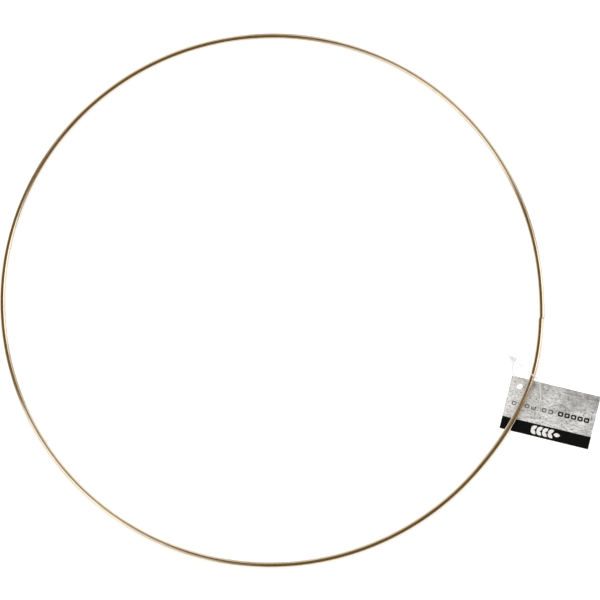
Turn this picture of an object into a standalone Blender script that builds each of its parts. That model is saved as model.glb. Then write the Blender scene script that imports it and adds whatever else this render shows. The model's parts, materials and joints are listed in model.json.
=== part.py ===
"""Wire wreath hoop with its hang tag.

A closed ring of round wire lies level. A printed card tag lies half under it, held by a
moulded loop-lock fastener: a filament that passes through the tag's punched hole and
round the wire, and ends in an arrow pin pushed through a socket.

Frame: metres, +Z up along the hoop's axis, origin at the hoop's centre, in the mid-plane
of the wire. The tag lies on the +X side. Lengths below are in millimetres times MM.
"""

from math import cos, pi, radians, sin

import bmesh
import bpy
from mathutils import Matrix, Vector

MM = 0.001

# Hoop: round wire, butt-welded into a ring
HOOP_OUTER_DIAMETER = 300.0 * MM
WIRE_DIAMETER = 3.0 * MM
HOOP_STEPS = 144
WIRE_SIDES = 12

# The ring is not quite round beside its weld: it leaves its circle there, turns back at a
# slight corner and meets the circle again. Angles are from +X, towards +Y.
CORNER_START = 0.0
CORNER_PEAK = radians(-17.0)
CORNER_END = radians(-38.0)
CORNER_HEIGHT = 2.25 * MM
CORNER_ROUNDING = radians(2.5)

# The surface that the tag lies on, below the wire's mid-plane
TABLE_Z = -4.45 * MM

# Tag: a flat card that leans on its lower long edge, its holed corner raised
CARD_WIDTH = 50.0 * MM
CARD_HEIGHT = 30.0 * MM
CARD_THICKNESS = 0.4 * MM
CARD_TURN = radians(-13.95)
CARD_LEAN = radians(2.8)
HOLE_DIAMETER = 3.0 * MM
HOLE_FROM_LEFT = 5.6 * MM
HOLE_FROM_TOP = 5.0 * MM
HOLE_XY = (136.95 * MM, -49.98 * MM)
HOLE_SIDES = 32

# Fastener: every place along the pin is measured from the socket's mouth towards the tip
MOUTH_CENTRE = Vector((134.2, -35.6, -1.6)) * MM
PIN_HEADING = radians(137.0)
PIN_DIP = radians(24.0)
SOCKET_LENGTH = 3.3 * MM
SOCKET_MOUTH_RADIUS = 1.75 * MM
SOCKET_END_RADIUS = 1.15 * MM
SOCKET_BORE_RADIUS = 0.8 * MM
SHANK_RADIUS = 0.5 * MM
COLLAR_RADIUS = 0.75 * MM
COLLAR_CENTRE = -5.05 * MM
COLLAR_LENGTH = 1.6 * MM
BARB_START = 3.6 * MM
BARB_RADIUS = 1.0 * MM
BARB_TIP_RADIUS = 0.25 * MM
PIN_END = 6.1 * MM
TURNED_SIDES = 24

# Stub on the socket's side, where the filament's moulded end joins it
STUB_RADIUS = 0.6 * MM
STUB_LENGTH = 2.3 * MM
STUB_FROM_MOUTH = 0.9 * MM
STUB_DIRECTION = Vector((-0.1, -0.975, -0.2)).normalized()
STUB_SIDES = 16

# Filament: one smooth curve from the stub, behind the card, up through the hole, under
# the wire, round on the card's face, back over the wire and down to the pin's collar
FILAMENT_DIAMETER = 0.8 * MM
FILAMENT_POINT_SPACING = 2.0 * FILAMENT_DIAMETER
FILAMENT_ROUTE = [
    (133.34, -37.60, -2.55),
    (133.10, -39.40, -3.20),
    (133.10, -41.30, -3.76),
    (133.45, -43.40, -4.02),
    (134.25, -45.50, -4.03),
    (135.25, -47.25, -4.03),
    (136.05, -48.54, -4.00),
    (136.58, -49.38, -3.60),
    (137.30, -50.54, -2.46),
    (137.88, -51.48, -2.05),
    (138.80, -53.20, -2.18),
    (139.90, -55.80, -2.28),
    (141.30, -58.80, -2.40),
    (143.20, -60.75, -2.50),
    (145.60, -60.95, -2.50),
    (147.45, -59.45, -2.40),
    (148.15, -57.00, -2.20),
    (148.25, -53.90, -1.70),
    (147.95, -50.60, -0.60),
    (147.20, -47.90, 0.90),
    (145.50, -45.90, 2.20),
    (143.10, -44.00, 2.60),
    (140.60, -41.70, 2.00),
    (138.30, -39.40, 0.95),
]

MATERIALS = {
    "wire_hoop": ((0.72, 0.52, 0.26), 0.18, 1.0),
    "tag_card": ((0.56, 0.56, 0.55), 0.65, 0.0),
    "loop_filament": ((0.86, 0.87, 0.85), 0.25, 0.0),
    "lock_head": ((0.86, 0.87, 0.85), 0.30, 0.0),
    "arrow_pin": ((0.86, 0.87, 0.85), 0.30, 0.0),
}


def clear_scene():
    for thing in list(bpy.data.objects):
        bpy.data.objects.remove(thing, do_unlink=True)


def new_collection(name):
    collection = bpy.data.collections.new(name)
    bpy.context.scene.collection.children.link(collection)
    return collection


def principled(name):
    colour, roughness, metallic = MATERIALS[name]
    material = bpy.data.materials.new(name)
    material.use_nodes = True
    shader = material.node_tree.nodes["Principled BSDF"]
    shader.inputs["Base Color"].default_value = (*colour, 1.0)
    shader.inputs["Roughness"].default_value = roughness
    shader.inputs["Metallic"].default_value = metallic
    return material


def mesh_object(name, mesh, collection):
    thing = bpy.data.objects.new(name, mesh)
    collection.objects.link(thing)
    return thing


def turned(name, profile, collection):
    """A solid of revolution about local Z from (radius, z) points that run down its outer side."""
    mesh = bpy.data.meshes.new(name)
    shape = bmesh.new()
    points = [shape.verts.new((radius, 0.0, z)) for radius, z in profile]
    for pair in zip(points, points[1:]):
        shape.edges.new(pair)
    shape.to_mesh(mesh)
    shape.free()
    thing = mesh_object(name, mesh, collection)
    screw = thing.modifiers.new("turn", "SCREW")
    screw.steps = TURNED_SIDES
    screw.render_steps = TURNED_SIDES
    screw.use_merge_vertices = True
    screw.merge_threshold = 1e-6
    screw.use_smooth_shade = True
    return thing


def cutter(thing):
    thing.hide_render = True
    thing.display_type = "WIRE"
    return thing


def boolean(thing, tool, operation):
    modifier = thing.modifiers.new(operation.lower(), "BOOLEAN")
    modifier.operation = operation
    modifier.object = tool


def pin_frame():
    """Places local +Z along the pin, towards its tip, with the origin at the socket's mouth."""
    level = Vector((cos(PIN_HEADING), sin(PIN_HEADING), 0.0))
    along = level * cos(PIN_DIP) - Vector((0.0, 0.0, 1.0)) * sin(PIN_DIP)
    return Matrix.Translation(MOUTH_CENTRE) @ along.to_track_quat("Z", "Y").to_matrix().to_4x4()


def card_frame():
    """Places local X along the card's width and local Y up its face, with the origin at the hole."""
    below_hole = CARD_HEIGHT - HOLE_FROM_TOP
    height = below_hole * sin(CARD_LEAN) + 0.5 * CARD_THICKNESS * cos(CARD_LEAN)
    place = Matrix.Translation((*HOLE_XY, TABLE_Z + height))
    return place @ Matrix.Rotation(CARD_TURN, 4, "Z") @ Matrix.Rotation(CARD_LEAN, 4, "X")


def soft_ramp(angle):
    """The angle where it is positive and nothing where it is negative, with a rounded corner."""
    return 0.5 * (angle + (angle * angle + CORNER_ROUNDING * CORNER_ROUNDING) ** 0.5)


def stand_out(angle):
    """How far the wire's centre line stands outside its circle, for an angle from -pi to pi."""
    rise = CORNER_HEIGHT / (CORNER_START - CORNER_PEAK)
    fall = CORNER_HEIGHT / (CORNER_PEAK - CORNER_END)
    outwards = rise * soft_ramp(CORNER_START - angle)
    inwards = (rise + fall) * soft_ramp(CORNER_PEAK - angle)
    return outwards - inwards + fall * soft_ramp(CORNER_END - angle)


def make_wire_hoop(parts):
    wire_radius = 0.5 * WIRE_DIAMETER
    ring_radius = 0.5 * HOOP_OUTER_DIAMETER - wire_radius
    corner = wire_radius / cos(pi / WIRE_SIDES)
    mesh = bpy.data.meshes.new("wire_hoop")
    shape = bmesh.new()
    sections = []
    for step in range(HOOP_STEPS):
        angle = 2 * pi * step / HOOP_STEPS - pi
        radius = ring_radius + stand_out(angle)
        section = []
        for side in range(WIRE_SIDES):
            turn = (side + 0.5) * 2 * pi / WIRE_SIDES
            reach = radius + corner * cos(turn)
            place = (reach * cos(angle), reach * sin(angle), corner * sin(turn))
            section.append(shape.verts.new(place))
        sections.append(section)
    for section, following in zip(sections, sections[1:] + sections[:1]):
        for side in range(WIRE_SIDES):
            beside = (side + 1) % WIRE_SIDES
            shape.faces.new((section[side], following[side], following[beside], section[beside]))
    bmesh.ops.recalc_face_normals(shape, faces=shape.faces)
    shape.to_mesh(mesh)
    shape.free()
    return mesh_object("wire_hoop", mesh, parts)


def add_spline(curve, points, cyclic):
    spline = curve.splines.new("POLY")
    spline.points.add(len(points) - 1)
    for place, (x, y, z) in zip(spline.points, points):
        place.co = (x, y, z, 1.0)
    spline.use_cyclic_u = cyclic


def make_tag_card(parts):
    left, top = -HOLE_FROM_LEFT, HOLE_FROM_TOP
    right, bottom = left + CARD_WIDTH, top - CARD_HEIGHT
    curve = bpy.data.curves.new("tag_card", "CURVE")
    curve.dimensions = "2D"
    curve.fill_mode = "BOTH"
    curve.extrude = 0.5 * CARD_THICKNESS
    corners = [(left, bottom, 0.0), (right, bottom, 0.0), (right, top, 0.0), (left, top, 0.0)]
    add_spline(curve, corners, cyclic=True)
    hole = []
    for side in range(HOLE_SIDES):
        angle = 2 * pi * side / HOLE_SIDES
        hole.append((0.5 * HOLE_DIAMETER * cos(angle), 0.5 * HOLE_DIAMETER * sin(angle), 0.0))
    add_spline(curve, hole, cyclic=True)
    card = mesh_object("tag_card", curve, parts)
    card.matrix_world = card_frame()
    return card


def curve_through(points, per_span=24):
    """A centripetal Catmull-Rom curve through the points, as closely spaced places."""
    ends = [points[0] * 2 - points[1], *points, points[-1] * 2 - points[-2]]
    places = []
    for a, b, c, d in zip(ends, ends[1:], ends[2:], ends[3:]):
        t0 = 0.0
        t1 = t0 + (b - a).length ** 0.5
        t2 = t1 + (c - b).length ** 0.5
        t3 = t2 + (d - c).length ** 0.5
        for step in range(per_span):
            t = t1 + (t2 - t1) * step / per_span
            ab = a * ((t1 - t) / (t1 - t0)) + b * ((t - t0) / (t1 - t0))
            bc = b * ((t2 - t) / (t2 - t1)) + c * ((t - t1) / (t2 - t1))
            cd = c * ((t3 - t) / (t3 - t2)) + d * ((t - t2) / (t3 - t2))
            abc = ab * ((t2 - t) / (t2 - t0)) + bc * ((t - t0) / (t2 - t0))
            bcd = bc * ((t3 - t) / (t3 - t1)) + cd * ((t - t1) / (t3 - t1))
            places.append(abc * ((t2 - t) / (t2 - t1)) + bcd * ((t - t1) / (t2 - t1)))
    places.append(points[-1].copy())
    return places


def evenly_spaced(places, spacing):
    """The same line with places at equal distances along it, both ends kept."""
    lengths = [(b - a).length for a, b in zip(places, places[1:])]
    count = round(sum(lengths) / spacing)
    step = sum(lengths) / count
    chosen, walked, target = [places[0]], 0.0, step
    for a, b, length in zip(places, places[1:], lengths):
        while len(chosen) < count and walked + length >= target:
            chosen.append(a.lerp(b, (target - walked) / length))
            target += step
        walked += length
    chosen.append(places[-1])
    return chosen


def make_loop_filament(parts):
    route = [Vector(point) * MM for point in FILAMENT_ROUTE]
    curve = bpy.data.curves.new("loop_filament", "CURVE")
    curve.dimensions = "3D"
    curve.bevel_depth = 0.5 * FILAMENT_DIAMETER
    curve.bevel_resolution = 2
    curve.use_fill_caps = True
    add_spline(curve, evenly_spaced(curve_through(route), FILAMENT_POINT_SPACING), cyclic=False)
    return mesh_object("loop_filament", curve, parts)


def cylinder(name, radius, length, sides, collection):
    """A cylinder from local z = 0 up to z = length."""
    mesh = bpy.data.meshes.new(name)
    shape = bmesh.new()
    bmesh.ops.create_cone(
        shape, cap_ends=True, segments=sides, radius1=radius, radius2=radius, depth=length
    )
    bmesh.ops.translate(shape, verts=shape.verts, vec=(0.0, 0.0, 0.5 * length))
    shape.to_mesh(mesh)
    shape.free()
    return mesh_object(name, mesh, collection)


def make_lock_head(parts, tools):
    rim = 0.25 * MM
    profile = [
        (0.0, SOCKET_LENGTH),
        (SOCKET_END_RADIUS - rim, SOCKET_LENGTH),
        (SOCKET_END_RADIUS, SOCKET_LENGTH - rim),
        (SOCKET_MOUTH_RADIUS, 3 * rim),
        (SOCKET_MOUTH_RADIUS, rim),
        (SOCKET_MOUTH_RADIUS - rim, 0.0),
        (0.0, 0.0),
    ]
    head = turned("lock_head", profile, parts)
    head.matrix_world = pin_frame()

    stub = cutter(cylinder("stub", STUB_RADIUS, STUB_LENGTH, STUB_SIDES, tools))
    root = pin_frame() @ Vector((0.0, 0.0, STUB_FROM_MOUTH))
    turn = STUB_DIRECTION.to_track_quat("Z", "Y").to_matrix().to_4x4()
    stub.matrix_world = Matrix.Translation(root) @ turn
    boolean(head, stub, "UNION")

    overrun = 1.0 * MM
    length = SOCKET_LENGTH + 2 * overrun
    bore = cutter(cylinder("bore", SOCKET_BORE_RADIUS, length, TURNED_SIDES, tools))
    bore.matrix_world = pin_frame() @ Matrix.Translation((0.0, 0.0, -overrun))
    boolean(head, bore, "DIFFERENCE")
    return head


def make_arrow_pin(parts):
    half = 0.5 * COLLAR_LENGTH
    taper = 0.35 * MM
    profile = [
        (0.0, PIN_END),
        (BARB_TIP_RADIUS, PIN_END),
        (BARB_RADIUS, BARB_START + taper),
        (BARB_RADIUS, BARB_START),
        (SHANK_RADIUS, BARB_START),
        (SHANK_RADIUS, COLLAR_CENTRE + half),
        (COLLAR_RADIUS, COLLAR_CENTRE + taper),
        (COLLAR_RADIUS, COLLAR_CENTRE - taper),
        (SHANK_RADIUS, COLLAR_CENTRE - half),
        (0.0, COLLAR_CENTRE - half),
    ]
    pin = turned("arrow_pin", profile, parts)
    pin.matrix_world = pin_frame()
    return pin


def main():
    clear_scene()
    parts = new_collection("wreath_hoop")
    tools = new_collection("cutters")
    made = [
        make_wire_hoop(parts),
        make_tag_card(parts),
        make_loop_filament(parts),
        make_lock_head(parts, tools),
        make_arrow_pin(parts),
    ]
    for thing in made:
        thing.data.materials.append(principled(thing.name))


main()
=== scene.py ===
"""Looks of the wire wreath hoop: polished brass wire, printed card tag, clear loop-lock pin.

Metres, in the CAD frame: +Z up, the origin at the hoop's centre in the wire's mid-plane,
the tag on the +X side. Lengths of a few millimetres are written as numbers times MM.
"""

import json
from math import cos, exp, pi, radians, sin, tan

import bmesh
import bpy
from mathutils import Matrix, Vector
from mathutils.geometry import delaunay_2d_cdt


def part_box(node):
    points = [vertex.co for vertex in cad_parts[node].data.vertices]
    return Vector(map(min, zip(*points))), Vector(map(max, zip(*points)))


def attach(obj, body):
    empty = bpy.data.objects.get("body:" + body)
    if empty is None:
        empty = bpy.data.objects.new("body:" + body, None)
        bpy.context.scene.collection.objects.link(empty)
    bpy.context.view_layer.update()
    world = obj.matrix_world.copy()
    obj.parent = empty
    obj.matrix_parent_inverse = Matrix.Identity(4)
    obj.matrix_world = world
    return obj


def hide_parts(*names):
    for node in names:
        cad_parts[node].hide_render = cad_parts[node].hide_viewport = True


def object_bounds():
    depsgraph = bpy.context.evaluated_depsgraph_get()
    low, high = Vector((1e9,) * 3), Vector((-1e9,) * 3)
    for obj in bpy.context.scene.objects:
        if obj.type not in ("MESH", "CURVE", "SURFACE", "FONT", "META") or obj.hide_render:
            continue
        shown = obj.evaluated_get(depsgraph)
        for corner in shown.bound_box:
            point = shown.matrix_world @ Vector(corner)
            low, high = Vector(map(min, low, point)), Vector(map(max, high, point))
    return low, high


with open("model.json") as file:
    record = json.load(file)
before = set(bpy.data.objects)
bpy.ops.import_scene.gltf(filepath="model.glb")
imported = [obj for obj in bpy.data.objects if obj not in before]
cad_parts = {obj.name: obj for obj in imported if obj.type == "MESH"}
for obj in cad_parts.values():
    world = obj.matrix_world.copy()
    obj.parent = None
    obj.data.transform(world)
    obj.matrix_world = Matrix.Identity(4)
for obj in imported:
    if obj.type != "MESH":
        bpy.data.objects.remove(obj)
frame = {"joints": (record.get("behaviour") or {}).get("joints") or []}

MM = 0.001
cad_low, cad_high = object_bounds()
hoop_low, hoop_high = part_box("wire_hoop")
WIRE_RADIUS = hoop_high.z
RING_RADIUS = hoop_high.x - WIRE_RADIUS
FLOOR_Z = cad_low.z
JOINTS = {joint["name"]: joint for joint in frame["joints"]}

# Camera: nearly overhead, rolled with its azimuth so that +X stays level in the picture
CAMERA_AIM = Vector((15.95, -1.87, 0.0)) * MM
CAMERA_DISTANCE = 2.0
CAMERA_ELEVATION = radians(79.25)
CAMERA_AZIMUTH = radians(7.84)
CAMERA_LENS = 217.2
CAMERA_CLIP_END = 50.0

# Hoop: not quite round near its weld. Clockwise from the weld it runs out to a slight corner
# and back, anticlockwise it is a little flatter, and its ends miss each other by a small step
HOOP_STEPS = 1080
HOOP_SIDES = 36
CORNER_START = 0.0
CORNER_PEAK = radians(-17.0)
CORNER_END = radians(-38.0)
CORNER_HEIGHT = 2.25 * MM
CORNER_ROUNDING = radians(2.5)
FLAT_ANGLE = radians(30.0)
FLAT_HALF_WIDTH = radians(20.0)
FLAT_DEPTH = 0.38 * MM
WELD_ANGLE = radians(-4.6)
WELD_RISE = 0.09 * MM
WELD_HALF_LENGTH = 0.9 * MM
WELD_STEP = 0.45 * MM
WELD_STEP_REACH = 28 * MM

# Tag, in its own frame: X along its width, Y up its face, the origin at the hole's centre
CARD_WIDTH = 50.0 * MM
CARD_HEIGHT = 30.0 * MM
CARD_THICKNESS = 0.4 * MM
CARD_TURN = radians(-13.95)
HOLE_RADIUS = 1.5 * MM
HOLE_FROM_LEFT = 5.6 * MM
HOLE_FROM_TOP = 5.0 * MM
CARD_CORNER_RADIUS = 0.35 * MM
CARD_CHAMFER = 0.06 * MM
CARD_GRID = 1.0 * MM
CARD_LEFT = -HOLE_FROM_LEFT
CARD_RIGHT = CARD_LEFT + CARD_WIDTH
CARD_TOP = HOLE_FROM_TOP
CARD_BOTTOM = CARD_TOP - CARD_HEIGHT
CURL_START = 14 * MM
CURL_REACH = 30 * MM
CURL_HEIGHT = 0.55 * MM

# Print on the tag. A line of plain empty boxes, each box a (width, height, line width) and
# each group its (first box's left side, count), and a leaf sprig on the black band
BAND_TOP = CARD_BOTTOM + 7.0 * MM
BOX_LINE_Y = -9.65 * MM
BOX_PITCH = 3.65 * MM
BOX_ROUNDING = 0.3
FADED_BOX = (2.55 * MM, 2.15 * MM, 0.48 * MM)
FADED_GROUPS = [(-2.2 * MM, 4), (14.8 * MM, 2)]
BOLD_BOX = (3.0 * MM, 2.7 * MM, 0.88 * MM)
BOLD_GROUPS = [(23.8 * MM, 5)]
SPRIG_CENTRE = Vector((19.6 * MM, -21.4 * MM))
SPRIG_LENGTH = 16.4 * MM
SPRIG_PAIRS = 4
LEAF_LENGTH = 3.7 * MM
LEAF_WIDTH = 2.2 * MM
LEAF_ANGLE = radians(36)
LEAF_ROOT = 0.12 * MM

# The tag's material slots, in the order in which it gets its materials
PAPER, PRINT, BAND, FADED, BOLD = range(5)

# Loop-lock pin. Its socket and arrow are modelled in millimetres in the pin's own frame:
# the origin at the socket's mouth and +Z towards the arrow's tip
MOUTH_CENTRE = Vector((134.2, -35.6, -1.6)) * MM
PIN_HEADING = radians(137.0)
PIN_DIP = radians(24.0)
STUB_DIRECTION = Vector((-0.1, -0.975, -0.2)).normalized()
PLASTIC_OPACITY = 0.5

# In the pin's frame, in millimetres
STUB_FOOT = Vector((0.0, 0.0, 0.9))
SLOT_SIZE = Vector((0.22, 4.0, 3.2))
SLOT_CENTRE = Vector((0.0, 0.0, 4.1))
BLEND_VOXEL = 0.06

# The line's route: from the socket's stub, behind the card, up through its hole, under
# the wire, round on the card's face, back over the wire and down to the pin's collar
FILAMENT_DIAMETER = 0.8 * MM
FILAMENT_SPACING = 0.4 * MM
FILAMENT_ROUTE = [
    (133.34, -37.60, -2.55),
    (133.10, -39.40, -3.20),
    (133.10, -41.30, -3.76),
    (133.45, -43.40, -4.02),
    (134.25, -45.50, -4.03),
    (135.25, -47.25, -4.03),
    (136.05, -48.54, -4.00),
    (136.58, -49.38, -3.60),
    (137.30, -50.54, -2.46),
    (137.88, -51.48, -2.05),
    (138.80, -53.20, -2.18),
    (139.90, -55.80, -2.28),
    (141.30, -58.80, -2.40),
    (143.20, -60.75, -2.50),
    (145.60, -60.95, -2.50),
    (147.45, -59.45, -2.40),
    (148.15, -57.00, -2.20),
    (148.25, -53.90, -1.70),
    (147.95, -50.60, -0.60),
    (147.20, -47.90, 0.90),
    (145.50, -45.90, 2.20),
    (143.10, -44.00, 2.60),
    (140.60, -41.70, 2.00),
    (138.30, -39.40, 0.95),
]

# Studio: softboxes on a dome round the hoop, a little bluer than the warm room
LAMP_DISTANCE = 3.0
DAYLIGHT = (0.93, 1.0, 1.08)


# ---------------------------------------------------------------- camera and line


def view_axes(azimuth, elevation):
    """Right, up and backward axes of a level camera that looks down at the object."""
    back = Vector((sin(azimuth) * cos(elevation), -cos(azimuth) * cos(elevation), sin(elevation)))
    right = Vector((cos(azimuth), sin(azimuth), 0.0))
    return right, back.cross(right), back


def make_camera():
    """Looks at the aim from its distance, and is rolled so that +X is level."""
    right, up, back = view_axes(CAMERA_AZIMUTH, CAMERA_ELEVATION)
    turn = Matrix((right, up, back)).transposed().to_4x4()
    camera = bpy.data.objects.new("camera", bpy.data.cameras.new("camera"))
    camera.data.lens = CAMERA_LENS
    camera.data.clip_end = CAMERA_CLIP_END
    roll = Matrix.Rotation(-CAMERA_AZIMUTH, 4, "Z")
    camera.matrix_world = Matrix.Translation(CAMERA_AIM + back * CAMERA_DISTANCE) @ turn @ roll
    bpy.context.scene.collection.objects.link(camera)
    bpy.context.scene.camera = camera


def curve_through(points, per_span=24):
    """A centripetal Catmull-Rom curve through the points, as closely spaced places."""
    ends = [points[0] * 2 - points[1], *points, points[-1] * 2 - points[-2]]
    places = []
    for a, b, c, d in zip(ends, ends[1:], ends[2:], ends[3:]):
        t0 = 0.0
        t1 = t0 + (b - a).length ** 0.5
        t2 = t1 + (c - b).length ** 0.5
        t3 = t2 + (d - c).length ** 0.5
        for step in range(per_span):
            t = t1 + (t2 - t1) * step / per_span
            ab = a * ((t1 - t) / (t1 - t0)) + b * ((t - t0) / (t1 - t0))
            bc = b * ((t2 - t) / (t2 - t1)) + c * ((t - t1) / (t2 - t1))
            cd = c * ((t3 - t) / (t3 - t2)) + d * ((t - t2) / (t3 - t2))
            abc = ab * ((t2 - t) / (t2 - t0)) + bc * ((t - t0) / (t2 - t0))
            bcd = bc * ((t3 - t) / (t3 - t1)) + cd * ((t - t1) / (t3 - t1))
            places.append(abc * ((t2 - t) / (t2 - t1)) + bcd * ((t - t1) / (t2 - t1)))
    places.append(points[-1].copy())
    return places


def evenly_spaced(places, spacing):
    """The same line with places at equal distances along it, both ends kept."""
    lengths = [(b - a).length for a, b in zip(places, places[1:])]
    count = round(sum(lengths) / spacing)
    step = sum(lengths) / count
    chosen = [places[0]]
    walked = 0.0
    target = step
    for a, b, length in zip(places, places[1:], lengths):
        while len(chosen) < count and walked + length >= target:
            chosen.append(a.lerp(b, (target - walked) / length))
            target += step
        walked += length
    chosen.append(places[-1])
    return chosen


def make_filament():
    """The fastener's line, as a tube along its route."""
    route = [Vector(point) * MM for point in FILAMENT_ROUTE]
    places = evenly_spaced(curve_through(route), FILAMENT_SPACING)
    curve = bpy.data.curves.new("clear_line", "CURVE")
    curve.dimensions = "3D"
    curve.bevel_depth = 0.5 * FILAMENT_DIAMETER
    curve.bevel_resolution = 6
    curve.use_fill_caps = True
    spline = curve.splines.new("POLY")
    spline.points.add(len(places) - 1)
    for point, (x, y, z) in zip(spline.points, places):
        point.co = (x, y, z, 1.0)
    spline.use_smooth = True
    line = bpy.data.objects.new("clear_line", curve)
    bpy.context.scene.collection.objects.link(line)
    return line


# ---------------------------------------------------------------- mesh helpers


def object_from(shape, name, place=None):
    """Turns a bmesh into a smooth-shaded object, and frees it."""
    mesh = bpy.data.meshes.new(name)
    shape.to_mesh(mesh)
    shape.free()
    mesh.shade_smooth()
    thing = bpy.data.objects.new(name, mesh)
    bpy.context.scene.collection.objects.link(thing)
    if place is not None:
        thing.matrix_world = place
    return thing


def rounded(profile, radius, steps=5):
    """The profile's open polyline with each inner corner replaced by an arc-like curve."""
    points = [Vector(point) for point in profile]
    result = [points[0]]
    for before, corner, after in zip(points, points[1:], points[2:]):
        reach_in = min(radius, 0.45 * (before - corner).length)
        reach_out = min(radius, 0.45 * (after - corner).length)
        start = corner + (before - corner).normalized() * reach_in
        end = corner + (after - corner).normalized() * reach_out
        for step in range(steps + 1):
            t = step / steps
            result.append(start.lerp(corner, t).lerp(corner.lerp(end, t), t))
    result.append(points[-1])
    return result


def circle_loop(radius, sides=48):
    """Flat points round the origin, anticlockwise from +X."""
    turns = [2 * pi * k / sides for k in range(sides)]
    return [Vector((radius * cos(turn), radius * sin(turn))) for turn in turns]


def level_rings(shape, profile, sides):
    """Adds a ring of vertices about Z for each (radius, z) point."""
    rings = []
    for radius, z in profile:
        circle = circle_loop(radius, sides)
        rings.append([shape.verts.new((place.x, place.y, z)) for place in circle])
    return rings


def lathe(shape, profile, sides):
    """Adds a solid of revolution about Z from (radius, z) points that start and end on the axis."""
    rings = level_rings(shape, profile[1:-1], sides)
    first_pole = shape.verts.new((0.0, 0.0, profile[0][1]))
    last_pole = shape.verts.new((0.0, 0.0, profile[-1][1]))
    for k in range(sides):
        following = (k + 1) % sides
        shape.faces.new((first_pole, rings[0][k], rings[0][following]))
        shape.faces.new((last_pole, rings[-1][following], rings[-1][k]))
        for upper, lower in zip(rings, rings[1:]):
            shape.faces.new((upper[k], lower[k], lower[following], upper[following]))
    bmesh.ops.recalc_face_normals(shape, faces=shape.faces)


# ---------------------------------------------------------------- hoop


def soft_ramp(angle):
    """The angle where it is positive and nothing where it is negative, with a rounded corner."""
    return 0.5 * (angle + (angle * angle + CORNER_ROUNDING * CORNER_ROUNDING) ** 0.5)


def stand_out(angle):
    """How far the wire's centre line stands outside its circle, for an angle from -pi to pi."""
    rise = CORNER_HEIGHT / (CORNER_START - CORNER_PEAK)
    fall = CORNER_HEIGHT / (CORNER_PEAK - CORNER_END)
    outwards = rise * soft_ramp(CORNER_START - angle)
    inwards = (rise + fall) * soft_ramp(CORNER_PEAK - angle)
    flat = FLAT_DEPTH * exp(-(((angle - FLAT_ANGLE) / FLAT_HALF_WIDTH) ** 2))
    return outwards - inwards + fall * soft_ramp(CORNER_END - angle) - flat


def make_hoop():
    """The wire as a fine ring from its weld round to its weld, with UVs in metres.

    The weld is a low bead, fullest on the hoop's outside, and a step that only one end has.
    """
    shape = bmesh.new()
    rings = []
    for i in range(HOOP_STEPS):
        angle = WELD_ANGLE + 2 * pi * i / HOOP_STEPS
        centre_line = RING_RADIUS + stand_out((angle + pi) % (2 * pi) - pi)
        along = min(i, HOOP_STEPS - i) * 2 * pi / HOOP_STEPS * RING_RADIUS
        swell = WELD_RISE * exp(-((along / WELD_HALF_LENGTH) ** 2))
        height = WELD_STEP if i < HOOP_STEPS / 2 else 0.0
        shift = height * exp(-((along / WELD_STEP_REACH) ** 2))
        ring = []
        for j in range(HOOP_SIDES):
            turn = 2 * pi * j / HOOP_SIDES
            radius = WIRE_RADIUS + swell * (0.6 + 0.4 * cos(turn))
            out = centre_line + shift + radius * cos(turn)
            ring.append(shape.verts.new((out * cos(angle), out * sin(angle), radius * sin(turn))))
        rings.append(ring)
    uv = shape.loops.layers.uv.new("wire")
    for i in range(HOOP_STEPS):
        ring = rings[i]
        following = rings[(i + 1) % HOOP_STEPS]
        for j in range(HOOP_SIDES):
            k = (j + 1) % HOOP_SIDES
            face = shape.faces.new((ring[j], following[j], following[k], ring[k]))
            corners = [(i, j), (i + 1, j), (i + 1, j + 1), (i, j + 1)]
            for loop, (step, slot) in zip(face.loops, corners):
                u = step / HOOP_STEPS * 2 * pi * RING_RADIUS
                v = slot / HOOP_SIDES * 2 * pi * WIRE_RADIUS
                loop[uv].uv = (u, v)
    bmesh.ops.recalc_face_normals(shape, faces=shape.faces)
    return object_from(shape, "brass_wire_ring")


# ---------------------------------------------------------------- tag


def card_frame():
    """The tag's frame: its hinge's place, its normal up, and its turn about it."""
    swivel = JOINTS["tag_swivel"]
    normal = Vector(swivel["axis"]).normalized()
    lengthways = Vector((cos(CARD_TURN), sin(CARD_TURN), 0.0))
    lengthways = (lengthways - normal * lengthways.dot(normal)).normalized()
    turn = Matrix((lengthways, normal.cross(lengthways), normal)).transposed().to_4x4()
    return Matrix.Translation(swivel["pos_m"]) @ turn


def rectangle_loop(inset):
    """The card's round-cornered outline, anticlockwise, with the same count for any inset."""
    radius = CARD_CORNER_RADIUS
    centres = [
        (CARD_RIGHT - radius, CARD_BOTTOM + radius, -pi / 2),
        (CARD_RIGHT - radius, CARD_TOP - radius, 0.0),
        (CARD_LEFT + radius, CARD_TOP - radius, pi / 2),
        (CARD_LEFT + radius, CARD_BOTTOM + radius, pi),
    ]
    arc_steps = 4
    reach = radius - inset
    loop = []
    for k, (x, y, start) in enumerate(centres):
        arc = []
        for step in range(arc_steps + 1):
            angle = start + 0.5 * pi * step / arc_steps
            arc.append(Vector((x + reach * cos(angle), y + reach * sin(angle))))
        loop.extend(arc)
        x2, y2, start2 = centres[(k + 1) % 4]
        ahead = Vector((x2 + reach * cos(start2), y2 + reach * sin(start2)))
        count = round((Vector((x2, y2)) - Vector((x, y))).length / CARD_GRID)
        for step in range(1, count):
            loop.append(arc[-1].lerp(ahead, step / count))
    return loop


def pill(x, y, width, height, steps=5):
    """A round-cornered bar's anticlockwise outline, from its left side and middle height."""
    radius = BOX_ROUNDING * min(width, height)
    centres = [
        (x + width - radius, y - 0.5 * height + radius, -pi / 2),
        (x + width - radius, y + 0.5 * height - radius, 0.0),
        (x + radius, y + 0.5 * height - radius, pi / 2),
        (x + radius, y - 0.5 * height + radius, pi),
    ]
    outline = []
    for cx, cy, start in centres:
        for step in range(steps + 1):
            angle = start + 0.5 * pi * step / steps
            outline.append(Vector((cx + radius * cos(angle), cy + radius * sin(angle))))
    return outline


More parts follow.
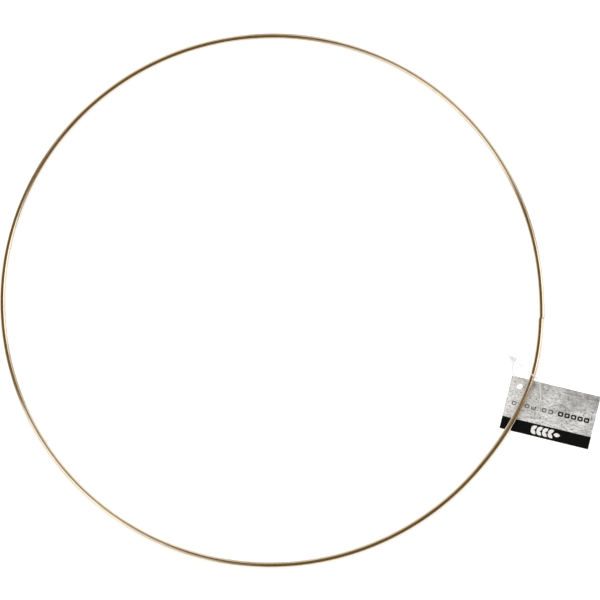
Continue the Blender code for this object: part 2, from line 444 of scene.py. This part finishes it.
def ink_boxes(groups, size):
    """The outer and inner outline of each box in the groups."""
    width, height, line = size
    boxes = []
    for start, count in groups:
        for k in range(count):
            left = start + BOX_PITCH * k
            outer = pill(left, BOX_LINE_Y, width, height)
            inner = pill(left + line, BOX_LINE_Y, width - 2 * line, height - 2 * line)
            boxes.append((outer, inner))
    return boxes


def inked(point, boxes):
    """Whether a point is on the line of one of the boxes."""
    return any(inside(point, outer) and not inside(point, inner) for outer, inner in boxes)


def leaf(base, heading, length, width, steps=8):
    """A pointed leaf's outline, anticlockwise from its base and fullest near it."""
    forward = Vector((cos(heading), sin(heading)))
    sideways = Vector((-forward.y, forward.x))
    right = []
    left = []
    for step in range(steps + 1):
        t = step / steps
        swell = 0.5 * width * sin(pi * t) ** 0.8 * (1.15 - 0.3 * t) if 0 < t < 1 else 0.0
        right.append(base + forward * length * t - sideways * swell)
        left.append(base + forward * length * t + sideways * swell)
    return right + left[-2:0:-1]


def sprig():
    """A generic leaf sprig: leaves in pairs along a line, and one at its end."""
    leaves = []
    start = SPRIG_CENTRE - Vector((0.5 * SPRIG_LENGTH, 0.0))
    pitch = (SPRIG_LENGTH - LEAF_LENGTH) / SPRIG_PAIRS
    for pair in range(SPRIG_PAIRS):
        base = start + Vector((pair * pitch, 0.0))
        for side in (-1, 1):
            root = base + Vector((0.0, side * LEAF_ROOT))
            leaves.append(leaf(root, side * LEAF_ANGLE, LEAF_LENGTH, LEAF_WIDTH))
    tip = start + Vector((SPRIG_LENGTH - LEAF_LENGTH, 0.0))
    leaves.append(leaf(tip, 0.0, LEAF_LENGTH, LEAF_WIDTH))
    return leaves


def grid_points(keep_off):
    """Inner points of the card's face, on a staggered grid, away from the outlines."""
    points = []
    rows = int(CARD_HEIGHT / CARD_GRID)
    columns = int(CARD_WIDTH / CARD_GRID)
    clearance = 0.35 * CARD_GRID
    for row in range(1, rows):
        for column in range(1, columns):
            x = CARD_LEFT + (column + 0.5 * (row % 2)) * CARD_WIDTH / columns
            y = CARD_BOTTOM + row * CARD_HEIGHT / rows
            if CARD_RIGHT - x < 0.5 * CARD_GRID:
                continue
            place = Vector((x, y))
            if all((place - other).length > clearance for other in keep_off):
                points.append(place)
    return points


def inside(point, outline):
    """Whether a point is in a closed outline."""
    x, y = point
    found = False
    for a, b in zip(outline, outline[1:] + outline[:1]):
        if (a.y > y) != (b.y > y) and x < a.x + (y - a.y) * (b.x - a.x) / (b.y - a.y):
            found = not found
    return found


def card_lift(x, y):
    """How far the card's free far corner curls up: too little for its edges to look bent."""
    reach = max(0.0, x - CURL_START) / CURL_REACH
    rise = max(0.0, y - CARD_BOTTOM) / CARD_HEIGHT
    return CURL_HEIGHT * reach ** 2 * (0.25 + 0.75 * rise)


def make_card():
    """The card: printed face, plain back, and bare paper on its cut edges, its hole and the sprig."""
    face_outline = rectangle_loop(CARD_CHAMFER)
    face_hole = circle_loop(HOLE_RADIUS + CARD_CHAMFER)
    faded = ink_boxes(FADED_GROUPS, FADED_BOX)
    bold = ink_boxes(BOLD_GROUPS, BOLD_BOX)
    leaves = sprig()
    marks = [outline for box in faded + bold for outline in box] + leaves
    left = CARD_LEFT + CARD_CHAMFER
    span_across = CARD_RIGHT - CARD_CHAMFER - left
    columns = round(CARD_WIDTH / CARD_GRID)
    band_edge = [Vector((left + span_across * k / columns, BAND_TOP)) for k in range(columns + 1)]
    points = []
    edges = []
    for outline in [face_outline, face_hole, *marks]:
        first = len(points)
        points.extend(outline)
        edges.extend((first + k, first + (k + 1) % len(outline)) for k in range(len(outline)))
    first = len(points)
    edges.extend((first + k, first + k + 1) for k in range(columns))
    points.extend(band_edge)
    points.extend(grid_points(list(points)))
    found = delaunay_2d_cdt(points, edges, [], 0, 1e-7)
    flat = found[0]
    triangles = found[2]

    shape = bmesh.new()
    half = 0.5 * CARD_THICKNESS

    def place(point, z):
        return shape.verts.new((point.x, point.y, z + card_lift(point.x, point.y)))

    top = [place(point, half) for point in flat]
    under = [place(point, -half) for point in flat]
    for triangle in triangles:
        middle = sum((flat[k] for k in triangle), Vector((0.0, 0.0))) / 3
        if middle.length < HOLE_RADIUS + 0.5 * CARD_CHAMFER or not inside(middle, face_outline):
            continue
        front = shape.faces.new([top[k] for k in triangle])
        back = shape.faces.new([under[k] for k in reversed(triangle)])
        back.material_index = PAPER
        if any(inside(middle, outline) for outline in leaves):
            front.material_index = PAPER
        elif inked(middle, faded):
            front.material_index = FADED
        elif inked(middle, bold):
            front.material_index = BOLD
        elif middle.y < BAND_TOP:
            front.material_index = BAND
        else:
            front.material_index = PRINT

    # The cut edges: a chamfer, the straight wall and a second chamfer
    wall = half - CARD_CHAMFER
    for inner, outer in (
        (face_outline, rectangle_loop(0.0)),
        (face_hole, circle_loop(HOLE_RADIUS)),
    ):
        upper = [nearest(top, point) for point in inner]
        lower = [nearest(under, point) for point in inner]
        rows = [upper, [place(p, wall) for p in outer], [place(p, -wall) for p in outer], lower]
        for above, below in zip(rows, rows[1:]):
            for k in range(len(above)):
                following = (k + 1) % len(above)
                wall_face = shape.faces.new((above[k], above[following], below[following], below[k]))
                wall_face.material_index = PAPER
    loose = [vert for vert in shape.verts if not vert.link_faces]
    bmesh.ops.delete(shape, geom=loose, context="VERTS")
    bmesh.ops.recalc_face_normals(shape, faces=shape.faces)
    card = object_from(shape, "hang_tag", card_frame())
    card.data.set_sharp_from_angle(angle=radians(30))
    return card


def nearest(verts, point):
    """The vertex that stands at a flat point."""
    return min(verts, key=lambda vert: (vert.co.x - point.x) ** 2 + (vert.co.y - point.y) ** 2)


# ---------------------------------------------------------------- loop-lock pin


def pin_frame():
    """Places local +Z along the pin, towards its tip, with the origin at the socket's mouth."""
    level = Vector((cos(PIN_HEADING), sin(PIN_HEADING), 0.0))
    along = level * cos(PIN_DIP) - Vector((0.0, 0.0, 1.0)) * sin(PIN_DIP)
    return Matrix.Translation(MOUTH_CENTRE) @ along.to_track_quat("Z", "Y").to_matrix().to_4x4()


def shrink(thing):
    """Brings a mesh that was modelled in millimetres to metres."""
    thing.data.transform(Matrix.Scale(MM, 4))


def apply_modifiers(thing):
    """Puts the evaluated mesh in place of the object's modifiers."""
    graph = bpy.context.evaluated_depsgraph_get()
    graph.update()
    mesh = bpy.data.meshes.new_from_object(thing.evaluated_get(graph))
    thing.modifiers.clear()
    thing.data = mesh
    mesh.shade_smooth()


def make_lock_head():
    """The socket and its side stub, blended into one moulding and then bored through."""
    shape = bmesh.new()
    outside = [
        (0.0, 3.3),
        (1.15, 3.3),
        (1.2, 3.05),
        (1.62, 1.0),
        (1.75, 0.85),
        (1.75, 0.0),
        (0.0, 0.0),
    ]
    lathe(shape, rounded(outside, 0.16), 64)
    body = object_from(shape, "socket_body")

    to_pin = pin_frame().inverted().to_3x3()
    heading = (to_pin @ STUB_DIRECTION).normalized()
    aim = heading.to_track_quat("Z", "Y").to_matrix().to_4x4()
    shape = bmesh.new()
    stub_profile = [(0.0, 2.75), (0.42, 2.75), (0.46, 2.6), (0.62, 1.9), (0.75, 0.0), (0.0, 0.0)]
    lathe(shape, rounded(stub_profile, 0.05), 40)
    stub = object_from(shape, "socket_stub", Matrix.Translation(STUB_FOOT) @ aim)

    union = body.modifiers.new("stub", "BOOLEAN")
    union.operation = "UNION"
    union.object = stub
    apply_modifiers(body)
    blend = body.modifiers.new("blend", "REMESH")
    blend.mode = "VOXEL"
    blend.voxel_size = BLEND_VOXEL
    soften = body.modifiers.new("soften", "SMOOTH")
    soften.iterations = 6
    soften.factor = 0.5
    apply_modifiers(body)

    shape = bmesh.new()
    bore_profile = [(0.0, 4.4), (0.8, 4.4), (0.8, 0.35), (1.1, -0.05), (1.1, -1.0), (0.0, -1.0)]
    lathe(shape, bore_profile, 64)
    bore = object_from(shape, "socket_bore")
    cut = body.modifiers.new("bore", "BOOLEAN")
    cut.operation = "DIFFERENCE"
    cut.object = bore
    apply_modifiers(body)
    for tool in (stub, bore):
        bpy.data.objects.remove(tool, do_unlink=True)
    body.data.set_sharp_from_angle(angle=radians(40))
    shrink(body)
    body.name = "lock_socket"
    body.matrix_world = pin_frame()
    return body


def make_arrow():
    """Collar, shank and arrow tip as one turned shape, with a slot across the tip."""
    shape = bmesh.new()
    outline = [
        (0.0, 6.1),
        (0.28, 6.1),
        (0.42, 5.85),
        (1.0, 3.95),
        (1.0, 3.6),
        (0.5, 3.55),
        (0.5, -4.2),
        (0.75, -4.6),
        (0.75, -5.5),
        (0.43, -6.15),
        (0.41, -6.3),
        (0.0, -6.3),
    ]
    lathe(shape, rounded(outline, 0.12), 48)
    arrow = object_from(shape, "arrow_tip")
    shape = bmesh.new()
    bmesh.ops.create_cube(shape, size=1.0)
    bmesh.ops.scale(shape, verts=shape.verts, vec=SLOT_SIZE)
    bmesh.ops.translate(shape, verts=shape.verts, vec=SLOT_CENTRE)
    crossing = [edge for edge in shape.edges if abs((edge.verts[0].co - edge.verts[1].co).y) > 1.0]
    bmesh.ops.bevel(shape, geom=crossing, offset=0.08, segments=3, affect="EDGES")
    slot = object_from(shape, "tip_slot")
    cut = arrow.modifiers.new("slot", "BOOLEAN")
    cut.operation = "DIFFERENCE"
    cut.object = slot
    apply_modifiers(arrow)
    bpy.data.objects.remove(slot, do_unlink=True)
    arrow.data.set_sharp_from_angle(angle=radians(40))
    shrink(arrow)
    arrow.matrix_world = pin_frame()
    return arrow


# ---------------------------------------------------------------- materials


def new_material(name):
    """A material with its node tree and its shader."""
    material = bpy.data.materials.new(name)
    material.use_nodes = True
    return material, material.node_tree, material.node_tree.nodes["Principled BSDF"]


def node(tree, kind, inputs=None, **settings):
    """A node with its settings, and each input a value or another node's output socket."""
    made = tree.nodes.new(kind)
    for name, value in settings.items():
        setattr(made, name, value)
    for name, value in (inputs or {}).items():
        if isinstance(value, bpy.types.NodeSocket):
            tree.links.new(value, made.inputs[name])
        else:
            made.inputs[name].default_value = value
    return made


def ramp(tree, factor, stops):
    """A colour ramp from (position, colour) stops."""
    made = node(tree, "ShaderNodeValToRGB", {"Fac": factor})
    elements = made.color_ramp.elements
    while len(elements) < len(stops):
        elements.new(0.5)
    for element, (position, colour) in zip(elements, stops):
        element.position = position
        element.color = (*colour, 1.0)
    return made.outputs["Color"]


def noise_at(tree, vector, scale, detail=3.0, roughness=0.5):
    """Noise from 0 to 1 with about scale features to a unit of the vector."""
    made = node(
        tree,
        "ShaderNodeTexNoise",
        {"Vector": vector, "Scale": scale, "Detail": detail, "Roughness": roughness},
    )
    return made.outputs["Fac"]


def span(tree, value, low, high, to_low, to_high):
    """The value's stretch from low to high, mapped and clamped to another."""
    made = node(
        tree,
        "ShaderNodeMapRange",
        {"Value": value, "From Min": low, "From Max": high, "To Min": to_low, "To Max": to_high},
    )
    return made.outputs["Result"]


def weighted_sum(tree, terms):
    """The sum of (value, weight) terms."""
    total = 0.0
    for value, weight in terms:
        made = node(tree, "ShaderNodeMath", {0: value, 1: weight, 2: total}, operation="MULTIPLY_ADD")
        total = made.outputs[0]
    return total


def mix(tree, factor, a, b):
    """Colour a at factor 0 and colour b at factor 1."""
    made = node(tree, "ShaderNodeMix", data_type="RGBA")
    for socket, value in ((0, factor), (6, a), (7, b)):
        if isinstance(value, bpy.types.NodeSocket):
            tree.links.new(value, made.inputs[socket])
        elif socket == 0:
            made.inputs[socket].default_value = value
        else:
            made.inputs[socket].default_value = (*value, 1.0)
    return made.outputs[2]


def bump(tree, height, distance):
    """The normal of a surface whose height from 0 to 1 stands for a distance in metres."""
    made = node(tree, "ShaderNodeBump", {"Height": height, "Distance": distance})
    return made.outputs["Normal"]


def brass_material():
    """Polished brass plate: faint drawing lines along the wire and slightly uneven tone."""
    material, tree, shader = new_material("polished_brass")
    place = node(tree, "ShaderNodeUVMap", uv_map="wire").outputs["UV"]
    around = node(tree, "ShaderNodeTexCoord").outputs["Object"]
    streaks = node(tree, "ShaderNodeMapping", {"Vector": place, "Scale": (90.0, 6000.0, 1.0)})
    lines = noise_at(tree, streaks.outputs["Vector"], 1.0, 4.0, 0.6)
    patches = noise_at(tree, around, 55.0, 4.0, 0.55)
    colour = ramp(
        tree,
        patches,
        [(0.3, (0.59, 0.495, 0.365)), (0.5, (0.64, 0.55, 0.42)), (0.72, (0.68, 0.595, 0.47))],
    )
    tree.links.new(colour, shader.inputs["Base Color"])
    shader.inputs["Metallic"].default_value = 1.0
    blur = node(
        tree,
        "ShaderNodeMath",
        {0: span(tree, lines, 0.3, 0.7, 0.09, 0.16), 1: span(tree, patches, 0.35, 0.7, 0.0, 0.05)},
        operation="ADD",
    )
    tree.links.new(blur.outputs[0], shader.inputs["Roughness"])
    tree.links.new(bump(tree, lines, 0.000004), shader.inputs["Normal"])
    return material


def fibres(tree, place):
    """Height of the card's fine paper grain."""
    return noise_at(tree, place, 5200.0, 3.0, 0.6)


def paper_material():
    """White uncoated board, as on the card's back and its cut edges."""
    material, tree, shader = new_material("bare_card")
    place = node(tree, "ShaderNodeTexCoord").outputs["Object"]
    tone = noise_at(tree, place, 900.0, 3.0)
    colour = ramp(tree, tone, [(0.3, (0.94, 0.94, 0.93)), (0.7, (0.985, 0.98, 0.97))])
    tree.links.new(colour, shader.inputs["Base Color"])
    tree.links.new(span(tree, tone, 0.3, 0.7, 0.7, 0.85), shader.inputs["Roughness"])
    shader.inputs["Specular IOR Level"].default_value = 0.3
    tree.links.new(bump(tree, fibres(tree, place), 0.00002), shader.inputs["Normal"])
    return material


def print_material():
    """Grey print that looks like weathered concrete: clouds, streaks, pits and scratches.

    It is lighter towards the left. Pinkish-brown blotches there are painted shade and warm reflection
    from the brass wire that lies beside them. It is stained at the upper right.
    """
    material, tree, shader = new_material("concrete_print")
    place = node(tree, "ShaderNodeTexCoord").outputs["Object"]
    clouds = noise_at(tree, place, 75.0, 4.0, 0.6)
    wide = node(tree, "ShaderNodeMapping", {"Vector": place, "Scale": (170.0, 520.0, 1.0)})
    streaks = noise_at(tree, wide.outputs["Vector"], 1.0, 5.0, 0.65)
    grain = noise_at(tree, place, 1000.0, 3.0, 0.6)
    parts = node(tree, "ShaderNodeSeparateXYZ", {"Vector": place}).outputs
    # The print is lighter towards the card's left side.
    lighter_left = span(tree, parts["X"], CARD_LEFT, 12 * MM, 0.26, 0.0)
    low = span(tree, parts["Y"], -6 * MM, -17 * MM, 0.0, 0.13)
    right = span(tree, parts["X"], 16 * MM, 42 * MM, 0.0, 1.0)
    high = span(tree, parts["Y"], -8 * MM, CARD_TOP, 0.0, 0.2)
    stained = node(tree, "ShaderNodeMath", {0: right, 1: high}, operation="MULTIPLY").outputs[0]
    tone = weighted_sum(
        tree,
        [
            (clouds, 1.0),
            (streaks, 0.9),
            (grain, 0.6),
            (lighter_left, 1.0),
            (low, 1.0),
            (stained, -1.0),
        ],
    )
    colour = ramp(
        tree,
        span(tree, tone, 0.79, 1.56, 0.0, 1.0),
        [(0.0, (0.19, 0.19, 0.187)), (0.5, (0.58, 0.577, 0.566)), (1.0, (0.97, 0.964, 0.948))],
    )
    pits = span(tree, noise_at(tree, place, 820.0, 2.0), 0.62, 0.70, 0.0, 0.85)
    colour = mix(tree, pits, colour, (0.14, 0.14, 0.14))
    thin = node(tree, "ShaderNodeMapping", {"Vector": place, "Scale": (460.0, 1700.0, 1.0)})
    lines = noise_at(tree, thin.outputs["Vector"], 1.0, 3.0, 0.6)
    scratches = span(tree, lines, 0.53, 0.66, 0.0, 0.75)
    colour = mix(tree, scratches, colour, (0.17, 0.17, 0.168))
    # Pinkish-brown blotches on the card's left strip, beside the wire: painted shade and warm
    # reflection from the brass wire.
    blotches = span(tree, noise_at(tree, place, 160.0, 4.0, 0.7), 0.5, 0.66, 0.0, 1.0)
    near_left = span(tree, parts["X"], -2 * MM, 9 * MM, 0.42, 0.0)
    painted_wire_tint = node(tree, "ShaderNodeMath", {0: blotches, 1: near_left}, operation="MULTIPLY").outputs[0]
    colour = mix(tree, painted_wire_tint, colour, (0.50, 0.40, 0.35))
    tree.links.new(colour, shader.inputs["Base Color"])
    tree.links.new(span(tree, grain, 0.3, 0.7, 0.5, 0.7), shader.inputs["Roughness"])
    shader.inputs["Specular IOR Level"].default_value = 0.1
    tree.links.new(bump(tree, fibres(tree, place), 0.00001), shader.inputs["Normal"])
    return material


def black_material(name, low, high):
    """Black print whose uneven ink runs from a low to a high grey."""
    material, tree, shader = new_material(name)
    place = node(tree, "ShaderNodeTexCoord").outputs["Object"]
    tone = noise_at(tree, place, 1500.0, 3.0)
    colour = ramp(tree, tone, [(0.35, (low, low, low)), (0.75, (high, high * 0.97, high))])
    tree.links.new(colour, shader.inputs["Base Color"])
    tree.links.new(span(tree, tone, 0.3, 0.7, 0.45, 0.6), shader.inputs["Roughness"])
    shader.inputs["Specular IOR Level"].default_value = 0.05
    tree.links.new(bump(tree, fibres(tree, place), 0.00001), shader.inputs["Normal"])
    return material


def plastic_material(name, opacity):
    """Milky see-through plastic with faint flow lines; a ray meets at least two of its walls."""
    material, tree, shader = new_material(name)
    place = node(tree, "ShaderNodeTexCoord").outputs["Object"]
    flow = noise_at(tree, place, 420.0, 3.0)
    colour = ramp(tree, flow, [(0.3, (0.95, 0.955, 0.945)), (0.7, (0.985, 0.985, 0.98))])
    tree.links.new(colour, shader.inputs["Base Color"])
    tree.links.new(span(tree, flow, 0.3, 0.7, 0.22, 0.36), shader.inputs["Roughness"])
    shader.inputs["Alpha"].default_value = opacity
    shader.inputs["IOR"].default_value = 1.4
    tree.links.new(bump(tree, flow, 0.00003), shader.inputs["Normal"])
    return material


# ---------------------------------------------------------------- stage


def make_floor():
    """A pale floor whose rim rises far away, so that low views see no edge."""
    shape = bmesh.new()
    profile = [(2.0, 0.0), (3.2, 0.0), (3.8, 0.05), (4.2, 0.18), (4.4, 0.4), (4.45, 0.7)]
    sides = 96
    rings = level_rings(shape, profile, sides)
    shape.faces.new(rings[0])
    for inner, outer in zip(rings, rings[1:]):
        for k in range(sides):
            following = (k + 1) % sides
            shape.faces.new((inner[k], outer[k], outer[following], inner[following]))
    floor = object_from(shape, "floor")
    floor.location.z = FLOOR_Z
    material, _, shader = new_material("pale_floor")
    shader.inputs["Base Color"].default_value = (0.86, 0.86, 0.86, 1.0)
    shader.inputs["Roughness"].default_value = 0.9
    shader.inputs["Specular IOR Level"].default_value = 0.0
    shader.inputs["Emission Color"].default_value = (1.0, 1.0, 1.0, 1.0)
    shader.inputs["Emission Strength"].default_value = 0.45
    floor.data.materials.append(material)


def make_softbox(name, azimuth, elevation, across, tall, brightness, reflected=True):
    """A rectangular area light that faces the hoop's centre.

    Azimuth is anticlockwise from +X seen from above, and across and tall are the angles that
    the lamp fills, all in degrees. Brightness is its surface's radiance. A lamp that isn't
    reflected lights the scene but doesn't show in the wire.
    """
    light = bpy.data.lights.new(name, "AREA")
    light.shape = "RECTANGLE"
    light.size = 2 * LAMP_DISTANCE * tan(radians(across) / 2)
    light.size_y = 2 * LAMP_DISTANCE * tan(radians(tall) / 2)
    light.energy = pi * light.size * light.size_y * brightness
    light.color = DAYLIGHT
    lamp = bpy.data.objects.new(name, light)
    turn = radians(azimuth)
    tilt = radians(elevation)
    away = Vector((cos(turn) * cos(tilt), sin(turn) * cos(tilt), sin(tilt)))
    lamp.location = away * LAMP_DISTANCE
    lamp.rotation_mode = "QUATERNION"
    lamp.rotation_quaternion = away.to_track_quat("Z", "Y")
    lamp.visible_camera = False
    lamp.visible_glossy = reflected
    bpy.context.scene.collection.objects.link(lamp)


def make_lights():
    make_softbox("key_softbox", 9, 27, 26, 68, 1.3)
    make_softbox("key_core", 12, 45, 27, 21, 1.1)
    make_softbox("top_softbox", 60, 25, 48, 68, 1.1)
    make_softbox("back_softbox", 115, 26, 39, 56, 0.85)
    make_softbox("fill_softbox", -135, 30, 53, 48, 0.75)
    make_softbox("fill_core", -147, 42, 34, 40, 1.5)
    make_softbox("overhead_softbox", 90, 76, 40, 40, 1.25, reflected=False)


def make_surroundings():
    """A dim warm room that is a little brighter at the horizon and overhead."""
    world = bpy.data.worlds.new("studio")
    world.use_nodes = True
    tree = world.node_tree
    direction = node(tree, "ShaderNodeTexCoord").outputs["Generated"]
    height = node(tree, "ShaderNodeSeparateXYZ", {"Vector": direction}).outputs["Z"]
    colour = ramp(
        tree,
        height,
        [
            (0.0, (0.27, 0.20, 0.145)),
            (0.2, (0.155, 0.103, 0.056)),
            (0.45, (0.164, 0.109, 0.048)),
            (0.7, (0.168, 0.110, 0.041)),
            (1.0, (0.238, 0.162, 0.073)),
        ],
    )
    tree.links.new(colour, tree.nodes["Background"].inputs["Color"])
    bpy.context.scene.world = world


# ---------------------------------------------------------------- assembly


def finish_piece(piece, body, node_name, slot, *materials):
    """Gives a piece its materials and its body, and hides the CAD node that it stands for. The slot
    is not used.
    """
    for material in materials:
        piece.data.materials.append(material)
    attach(piece, body)
    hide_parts(node_name)
    return piece


make_camera()
clear = plastic_material("clear_plastic", PLASTIC_OPACITY)
milky = plastic_material("milky_plastic", PLASTIC_OPACITY)
line = finish_piece(make_filament(), "fastener", "loop_filament", "clear_plastic", clear)
socket = finish_piece(make_lock_head(), "fastener", "lock_head", "clear_plastic", milky)
arrow = finish_piece(make_arrow(), "fastener", "arrow_pin", "clear_plastic", milky)
finish_piece(make_hoop(), "hoop", "wire_hoop", "brass_wire", brass_material())
finish_piece(
    make_card(),
    "tag",
    "tag_card",
    "printed_card",
    paper_material(),
    print_material(),
    black_material("black_band", 0.004, 0.009),
    black_material("faded_ink", 0.02, 0.18),
    black_material("bold_ink", 0.01, 0.05),
)

make_floor()
make_lights()
make_surroundings()
bpy.context.scene.view_settings.view_transform = "Standard"
